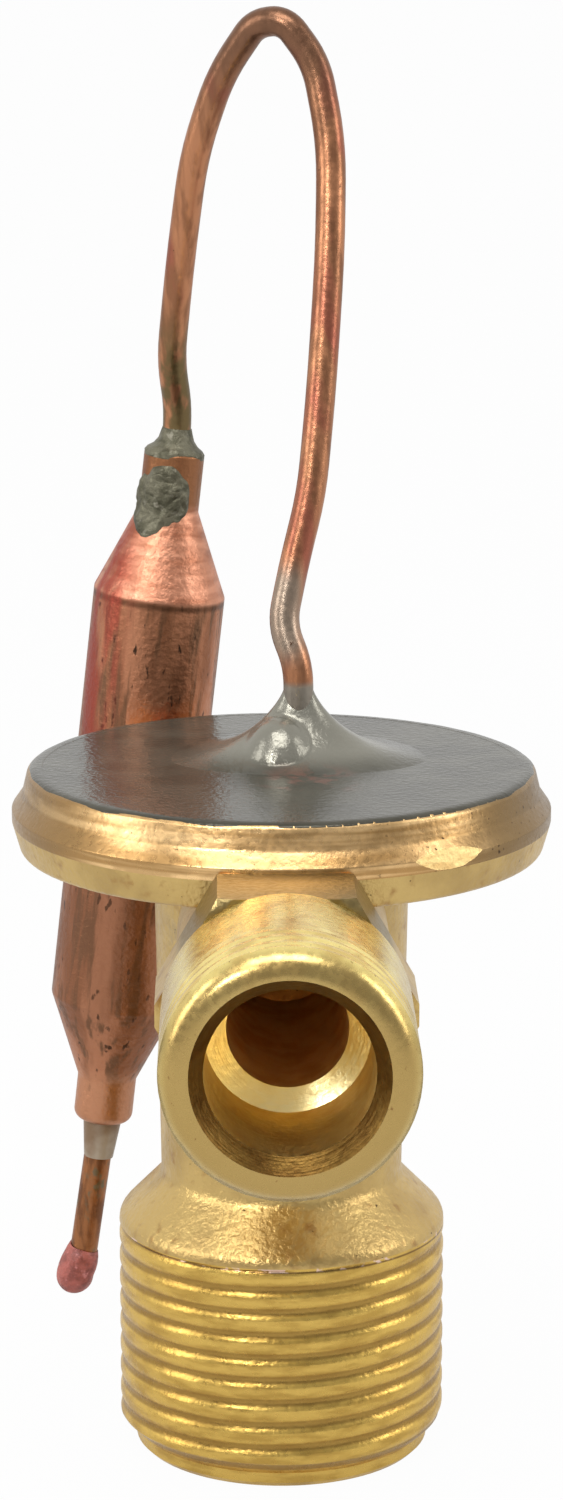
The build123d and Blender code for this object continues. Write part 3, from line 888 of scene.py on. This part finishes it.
# the spring is parted at mid height into two halves
spring = solids["superheat_spring"]
spring_low, spring_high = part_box("superheat_spring")
spring_middle = (0, 0, (spring_low.z + spring_high.z) / 2)
for name, end_body, end_height, away in (
    ("spring_lower_half", "adjuster_seat", spring_low.z, 1),
    ("spring_upper_half", "stem", spring_high.z, -1),
):
    half = bmesh.new()
    half.from_mesh(spring.data)
    half.transform(spring.matrix_world)
    bmesh.ops.remove_doubles(half, verts=half.verts, dist=weld_gap)
    bmesh.ops.bisect_plane(
        half,
        geom=half.verts[:] + half.edges[:] + half.faces[:],
        dist=plane_gap,
        plane_co=spring_middle,
        plane_no=(0, 0, away),
        clear_outer=True,
    )
    bmesh.ops.holes_fill(half, edges=[edge for edge in half.edges if edge.is_boundary])
    bmesh.ops.recalc_face_normals(half, faces=half.faces)
    piece = finish_piece(
        name,
        half,
        None,
        "superheat_spring",
        [bright_steel],
        corner_degrees=40,
    )
    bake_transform(piece)

# ---------------------------------------------------------------- cap
# The pressed steel cap is dipped in tin. The tin has run over the joint and the top of the lip.
cap_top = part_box("element_cap")[1].z
tin_grey = (0.09, 0.085, 0.066, 1)
tin_dark = (0.06, 0.056, 0.043, 1)
painted_dome_reflection = (0.16, 0.09, 0.07, 1)
tin_gloss = 0.16


def tin_material(name, bright, light, dull, reflection_tint, roughness):
    """Tin or solder: dull grey on the flat cap with a painted reddish reflection of the solder
    dome in front of the mound, brighter higher up.
    """
    tin, tree, output, where, by_axis = start_metal(name)
    colour = coat(tree, light, streaked(tree, where, 4.0, 4.0, 0.38, 0.66), dull)
    to_the_front = zone(tree, by_axis.outputs["Y"], -40.0, -7.0, 9.0)
    colour = coat(tree, colour, times(tree, to_the_front, 0.5), dull)
    # painted reflection: a reddish dark patch in front of the mound stands in for the dome's
    # reflection in the tin
    near_mound = times(
        tree,
        zone(tree, by_axis.outputs["X"], -1.0, 5.0, 1.5),
        zone(tree, by_axis.outputs["Y"], -8.5, -3.0, 1.5),
    )
    dome_reflection = times(tree, near_mound, streaked(tree, where, 1.2, 1.2, 0.48, 0.6))
    colour = coat(tree, colour, dome_reflection, reflection_tint)
    colour = coat(tree, colour, streaked(tree, where, 0.6, 0.6, 0.7, 0.78), dull)
    raised = zone(tree, by_axis.outputs["Z"], 54.9, 70.0, 0.7)
    colour = coat(tree, colour, raised, bright)
    metal = end_metal(tree, output, where, colour, roughness, grain_depth=0.2)
    shine = add_node(tree, "ShaderNodeMapRange", {0: raised, 3: 0.3, 4: 0.6})
    tree.links.new(shine.outputs[0], metal.inputs["Metallic"])
    satin = add_node(
        tree, "ShaderNodeMapRange", {0: raised, 3: roughness, 4: max(roughness, 0.25)}
    )
    tree.links.new(satin.outputs[0], metal.inputs["Roughness"])
    metal.inputs["Specular IOR Level"].default_value = 0.12
    return tin


tinned_steel = tin_material(
    "tinned_steel", tin_grey, tin_grey, tin_dark, painted_dome_reflection, tin_gloss
)
carry_over("element_cap", tinned_steel)

film_outer_r = 0.0189           # outside this the film's edge is ragged
film_wave = 350                 # ripples of the noise, per metre
film_ragged = 0.00007
film_profile = [                # radii and heights
    (0.0182, cap_top - 0.00015),
    (0.0183, cap_top + 0.000012),
    (0.01875, cap_top + 0.00001),
    (0.019, cap_top - 0.00003),
    (0.0192, cap_top - 0.00011),
    (0.01934, cap_top - 0.00024),
    (0.0194, cap_top - 0.00036),
    (0.01938, cap_top - 0.00046),
    (0.0192, cap_top - 0.0006),
    (0.0187, cap_top - 0.0006),
]
film = turned_ring(film_profile, steps=240)
for vert in film.verts:
    if math.hypot(vert.co.x, vert.co.y) > film_outer_r:
        spot = Vector((vert.co.x, vert.co.y, 0)) * film_wave
        push_out(vert, noise.noise(spot) * film_ragged)
bmesh.ops.recalc_face_normals(film, faces=film.faces)
finish_piece("tin_film", film, "root", None, [tinned_steel], corner_degrees=40)

# ---------------------------------------------------------------- solder mound on the cap
# Soft solder has crept up the capillary and out over the cap, and stands as a dome in front of
# the tube.
tube_x, tube_y = 0.00133, 0.002
mound_reach = 0.01
mound_inner_r = 0.00115
mound_sink = 0.00003            # below the cap's top, where the solder starts
mound_foot_depth = 0.0002
mound_wave = 450                # ripples of the noise, per metre
mound_ripple = 0.00004
mound_calm = 0.0005             # thinner than this, the solder ripples less
mound_rows = 96
row_growth = 1.15               # rows lie wider apart further out
creep_height = 0.0055           # at the tube's wall
creep_start_r = 0.00116
creep_run = 0.0038
creep_curve = 0.85
front_squeeze = 1.7             # the cone falls off faster in front of the tube
dome_x, dome_y = -0.0001, 0.0006
dome_foot = 0.0031
dome_top = 0.0036
dome_curve = 0.7
blend = 0.0006


def mound_height(x, y):
    """Height of the solder over the cap: the wetted cone round the tube, and the dome."""
    forward = front_squeeze if y < tube_y else 1.0
    out = min(math.hypot(x - tube_x, forward * (y - tube_y)), mound_reach)
    run = max(0.0, out - creep_start_r) / creep_run
    cone = creep_height * math.exp(-(run**creep_curve)) * (1 - (out / mound_reach) ** 2)
    dome_out = math.hypot(x - dome_x, y - dome_y) / dome_foot
    dome = dome_top * (1 - dome_out**2) ** dome_curve if dome_out < 1 else -blend
    overlap = max(blend - abs(cone - dome), 0.0) / blend
    ripple = noise.noise(Vector((x, y, 0)) * mound_wave) * mound_ripple
    return max(cone, dome) + overlap**2 * blend / 4 + ripple * min(1.0, cone / mound_calm)


mound = bmesh.new()
reach_line = []
for row in range(mound_rows + 1):
    out = mound_inner_r + (mound_reach - mound_inner_r) * (row / mound_rows) ** row_growth
    reach_line.append(mound.verts.new((tube_x + out, tube_y, 0)))
reach_edges = [mound.edges.new(pair) for pair in zip(reach_line, reach_line[1:])]
turn_line(mound, reach_line, reach_edges, steps=144, middle=(tube_x, tube_y, 0))
for vert in mound.verts:
    vert.co.z = cap_top - mound_sink + mound_height(vert.co.x, vert.co.y)
rims = [edge for edge in mound.edges if edge.is_boundary]
foot = bmesh.ops.extrude_edge_only(mound, edges=rims)["geom"]
foot_edges = [item for item in foot if isinstance(item, bmesh.types.BMEdge) and item.is_boundary]
for vert in {vert for edge in foot_edges for vert in edge.verts}:
    vert.co.z = cap_top - mound_foot_depth
bmesh.ops.bridge_loops(mound, edges=foot_edges)
bmesh.ops.recalc_face_normals(mound, faces=mound.faces)
soft_solder = tin_material(
    "soft_solder", (0.25, 0.24, 0.2, 1), tin_grey, tin_dark, painted_dome_reflection, tin_gloss
)
finish_piece(
    "solder_mound", mound, "root", "cap_solder", [soft_solder], corner_degrees=50
)

# ---------------------------------------------------------------- capillary
# Drawn copper tube, bent by hand. Solder has tinned it near the cap, and the brazing heat has
# left brown and green oxide above the bulb.
tube_copper, tree, output, where, by_axis = start_metal("tube_copper")
colour = coat(
    tree, (0.5, 0.225, 0.115, 1), streaked(tree, where, 0.8, 7.0, 0.4, 0.64), (0.3, 0.135, 0.07, 1)
)
colour = coat(tree, colour, streaked(tree, where, 2.5, 9.0, 0.5, 0.68), (0.36, 0.12, 0.075, 1))
# painted shade: the top of the loop is made darker
top_shade = zone(tree, by_axis.outputs["Z"], 104.0, 130.0, 5.0)
colour = coat(tree, colour, times(tree, top_shade, 0.85), (0.17, 0.09, 0.055, 1))
left_leg = zone(tree, by_axis.outputs["X"], -30.0, -4.0, 1.0)
burnt = times(tree, left_leg, zone(tree, by_axis.outputs["Z"], 70.0, 85.0, 3.0))
burnt = times(tree, burnt, streaked(tree, where, 0.9, 2.2, 0.3, 0.56))
colour = coat(tree, colour, burnt, (0.17, 0.12, 0.055, 1))
right_leg = zone(tree, by_axis.outputs["X"], -3.0, 1.6, 0.7)
tinned = times(tree, right_leg, zone(tree, by_axis.outputs["Z"], 62.3, 69.0, 1.2))
colour = coat(tree, colour, times(tree, tinned, 0.85), (0.33, 0.27, 0.21, 1))
wetted = zone(tree, by_axis.outputs["Z"], 50.0, 60.3, 0.35)
colour = coat(tree, colour, times(tree, wetted, 0.9), (0.3, 0.28, 0.235, 1))
colour = coat(tree, colour, streaked(tree, where, 0.4, 0.8, 0.7, 0.76), (0.12, 0.06, 0.035, 1))
end_metal(tree, output, where, colour, roughness=0.3, grain_depth=0.12)
carry_over("capillary_tube", tube_copper)

# ---------------------------------------------------------------- sensing bulb
# Copper tube swaged to a neck at both ends. The cones keep bright spinning marks, and the middle
# is browned in streaks along the bulb, with red marker ink rubbed on its left side.
bulb_low, bulb_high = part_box("sensing_bulb")
bulb_lean = math.radians(6.45)
bulb_foot = Vector((-0.01473, (bulb_low.y + bulb_high.y) / 2, 0.01836))
bulb_turn = Matrix.Rotation(bulb_lean, 4, "Y")
bulb_place = Matrix.Translation(bulb_foot) @ bulb_turn
bulb_r = 0.00536
bulb_neck_r = 0.00245
upper_cone_foot = 0.0454
upper_cone_top = 0.0522

bulb_copper, tree, output, where, by_axis = start_metal("bulb_copper")
on_bulb = add_node(
    tree,
    "ShaderNodeMapping",
    {
        "Vector": where,
        "Location": -(bulb_turn.inverted() @ bulb_foot),
        "Rotation": (0, -bulb_lean, 0),
    },
).outputs[0]
at = add_node(tree, "ShaderNodeSeparateXYZ", {0: on_bulb})
rings = lathe_rings(tree, on_bulb, 0.45)
colour = coat(
    tree,
    (0.5, 0.22, 0.12, 1),
    streaked(tree, on_bulb, 2.4, 14.0, 0.42, 0.6),
    (0.32, 0.135, 0.07, 1),
)
colour = coat(tree, colour, streaked(tree, on_bulb, 0.9, 7.0, 0.5, 0.64), (0.2, 0.1, 0.055, 1))
colour = coat(tree, colour, streaked(tree, on_bulb, 0.6, 1.6, 0.62, 0.7), (0.075, 0.04, 0.025, 1))
lower_half = times(tree, zone(tree, at.outputs["Z"], 8.0, 24.0, 5.0), 0.4)
colour = coat(tree, colour, lower_half, (0.2, 0.09, 0.05, 1))
bright_cone = zone(tree, at.outputs["Z"], 45.2, 53.0, 0.25)
spun = add_node(tree, "ShaderNodeMapRange", {0: rings, 1: 0.35, 2: 0.65})
cone_colour = coat(tree, (0.4, 0.16, 0.09, 1), spun.outputs[0], (0.68, 0.32, 0.2, 1))
colour = coat(tree, colour, times(tree, bright_cone, 0.95), cone_colour)
low_cone = times(tree, zone(tree, at.outputs["Z"], -5.0, 4.5, 1.0), 0.7)
colour = coat(tree, colour, low_cone, (0.56, 0.27, 0.15, 1))
necks = times(tree, zone(tree, at.outputs["Z"], 52.6, 70.0, 0.4), 0.8)
colour = coat(tree, colour, necks, (0.26, 0.115, 0.05, 1))
dark_bands = coat(
    tree,
    (0, 0, 0, 1),
    zone(tree, at.outputs["Z"], 44.7, 45.2, 0.2),
    (0.75, 0.75, 0.75, 1),
)
colour = coat(tree, colour, dark_bands, (0.1, 0.045, 0.025, 1))
on_left = zone(tree, at.outputs["X"], -9.0, -2.6, 1.3)
ink = times(tree, on_left, zone(tree, at.outputs["Z"], 30.0, 54.0, 6.0))
ink = times(tree, ink, streaked(tree, on_bulb, 1.6, 9.0, 0.34, 0.58))
colour = coat(tree, colour, times(tree, ink, 0.85), (0.37, 0.065, 0.045, 1))
end_metal(tree, output, where, colour, roughness=0.36, grain_depth=0.3, rings=(rings, 0.16))
carry_over("sensing_bulb", bulb_copper)

# ---------------------------------------------------------------- solder at the bulb's upper neck
# A collar where the capillary goes in, and a lump that has run down the front and left of the
# neck. Both have set rough and dull.
dull_solder, tree, output, where, _ = start_metal("dull_solder")
colour = coat(
    tree,
    (0.155, 0.145, 0.1, 1),
    streaked(tree, where, 1.2, 1.2, 0.4, 0.62),
    (0.085, 0.08, 0.052, 1),
)
colour = coat(tree, colour, streaked(tree, where, 0.7, 0.7, 0.6, 0.72), (0.22, 0.205, 0.155, 1))
metal = end_metal(tree, output, where, colour, roughness=0.4, grain_depth=0.6, metallic=0.5)
metal.inputs["Specular IOR Level"].default_value = 0.2

collar_smooth_r = 0.0014        # inside this the collar lies smooth on the tube
collar_wave = 700               # ripples of the noise, per metre
collar_ragged = 0.00022
collar_lift_wave = 500
collar_lift = 0.00018
collar_profile = [              # radii, and heights above the bulb's foot
    (0.0011, 0.0566),
    (0.00243, 0.0566),
    (0.00248, 0.05695),
    (0.0023, 0.0572),
    (0.00185, 0.0575),
    (0.0015, 0.05795),
    (0.0013, 0.0585),
    (0.00119, 0.0589),
    (0.0011, 0.0589),
]
collar = turned_ring(collar_profile, steps=72)
for vert in collar.verts:
    if math.hypot(vert.co.x, vert.co.y) > collar_smooth_r:
        push_out(vert, noise.noise(vert.co * collar_wave) * collar_ragged)
        vert.co.z += noise.noise(vert.co * collar_lift_wave + Vector((5, 0, 0))) * collar_lift
bmesh.ops.recalc_face_normals(collar, faces=collar.faces)

lump_middle = 0.0533            # above the bulb's foot
lump_half = 0.0034
lump_swing = math.radians(30)   # from straight ahead, towards the left
lump_reach = math.radians(78)
lump_thickness = 0.0005
lump_wide, lump_tall = 0.78, 0.74   # shares of the patch that the lump covers
lump_waver = 0.34               # how uneven its outline is
lump_rim, lump_slope = 1.08, 0.36
lump_swell = 0.4
lump_sink = 0.00018             # into the neck, where it has no thickness
lump_depth = 0.0003
lump_wave = (2.1, 2.0)          # ripples of the noise over half the patch
lump_slice = 3.7                # where the patch lies in the noise
lump_fine = 2.7
lump = bmesh.new()
bmesh.ops.create_grid(lump, x_segments=60, y_segments=48, size=1.0)
for vert in lump.verts:
    side, rise = vert.co.x, vert.co.y
    height = lump_middle + rise * lump_half
    neck_r = bulb_neck_r
    if height < upper_cone_top:
        taper = (bulb_r - bulb_neck_r) / (upper_cone_top - upper_cone_foot)
        neck_r += (upper_cone_top - height) * taper
    swing = lump_swing + side * lump_reach
    spot = Vector((side * lump_wave[0], rise * lump_wave[1], lump_slice))
    outline = math.hypot(side / lump_wide, rise / lump_tall) + lump_waver * noise.noise(spot)
    solid = min(1.0, max(0.0, (lump_rim - outline) / lump_slope))
    swell = 1 + lump_swell * noise.noise(spot * lump_fine)
    thickness = lump_thickness * solid * (2 - solid) * swell
    out = neck_r - lump_sink + thickness
    vert.co = (-out * math.sin(swing), -out * math.cos(swing), height)
bmesh.ops.solidify(lump, geom=lump.faces[:], thickness=lump_depth)
bmesh.ops.recalc_face_normals(lump, faces=lump.faces)
take_in(collar, lump)
bmesh.ops.transform(collar, matrix=bulb_place, verts=collar.verts)
finish_piece(
    "neck_solder", collar, "root", "bulb_solder", [dull_solder], corner_degrees=60
)

# ---------------------------------------------------------------- charge tube and its seal
# A short copper tube under the bulb, tinned where it goes in. Its cut end was dipped in a red
# resin, which has set as a lumpy drop.
charge_copper, tree, output, where, _ = start_metal("charge_copper")
colour = coat(
    tree, (0.36, 0.15, 0.062, 1), streaked(tree, where, 0.7, 3.0, 0.4, 0.62), (0.2, 0.085, 0.04, 1)
)
colour = coat(tree, colour, streaked(tree, where, 0.9, 1.5, 0.55, 0.68), (0.2, 0.15, 0.09, 1))
end_metal(tree, output, where, colour, roughness=0.36, grain_depth=0.3)
carry_over("charge_tube", charge_copper)
tin_wash = tin_material(
    "tin_wash",
    (0.36, 0.3, 0.23, 1),
    (0.42, 0.35, 0.27, 1),
    (0.24, 0.16, 0.1, 1),
    (0.22, 0.15, 0.09, 1),
    0.34,
)
carry_over("charge_solder", tin_wash)

drop_wave = 750                 # ripples of the noise, per metre
drop_ripple = 0.00012
drop = bmesh.new()
drop.from_mesh(solids["charge_seal"].data)
bmesh.ops.remove_doubles(drop, verts=drop.verts, dist=weld_gap)
for vert in drop.verts:
    vert.co += vert.normal * noise.noise(vert.co * drop_wave) * drop_ripple
bmesh.ops.recalc_face_normals(drop, faces=drop.faces)
sealing_resin, tree, output, where, _ = start_metal("sealing_resin")
colour = coat(
    tree,
    (0.42, 0.115, 0.09, 1),
    streaked(tree, where, 1.0, 1.0, 0.38, 0.62),
    (0.24, 0.06, 0.045, 1),
)
colour = coat(tree, colour, streaked(tree, where, 0.6, 0.6, 0.58, 0.7), (0.55, 0.2, 0.19, 1))
end_metal(tree, output, where, colour, roughness=0.42, grain_depth=0.5, metallic=0.0)
finish_piece(
    "red_seal", drop, "root", "charge_seal", [sealing_resin], corner_degrees=45
)
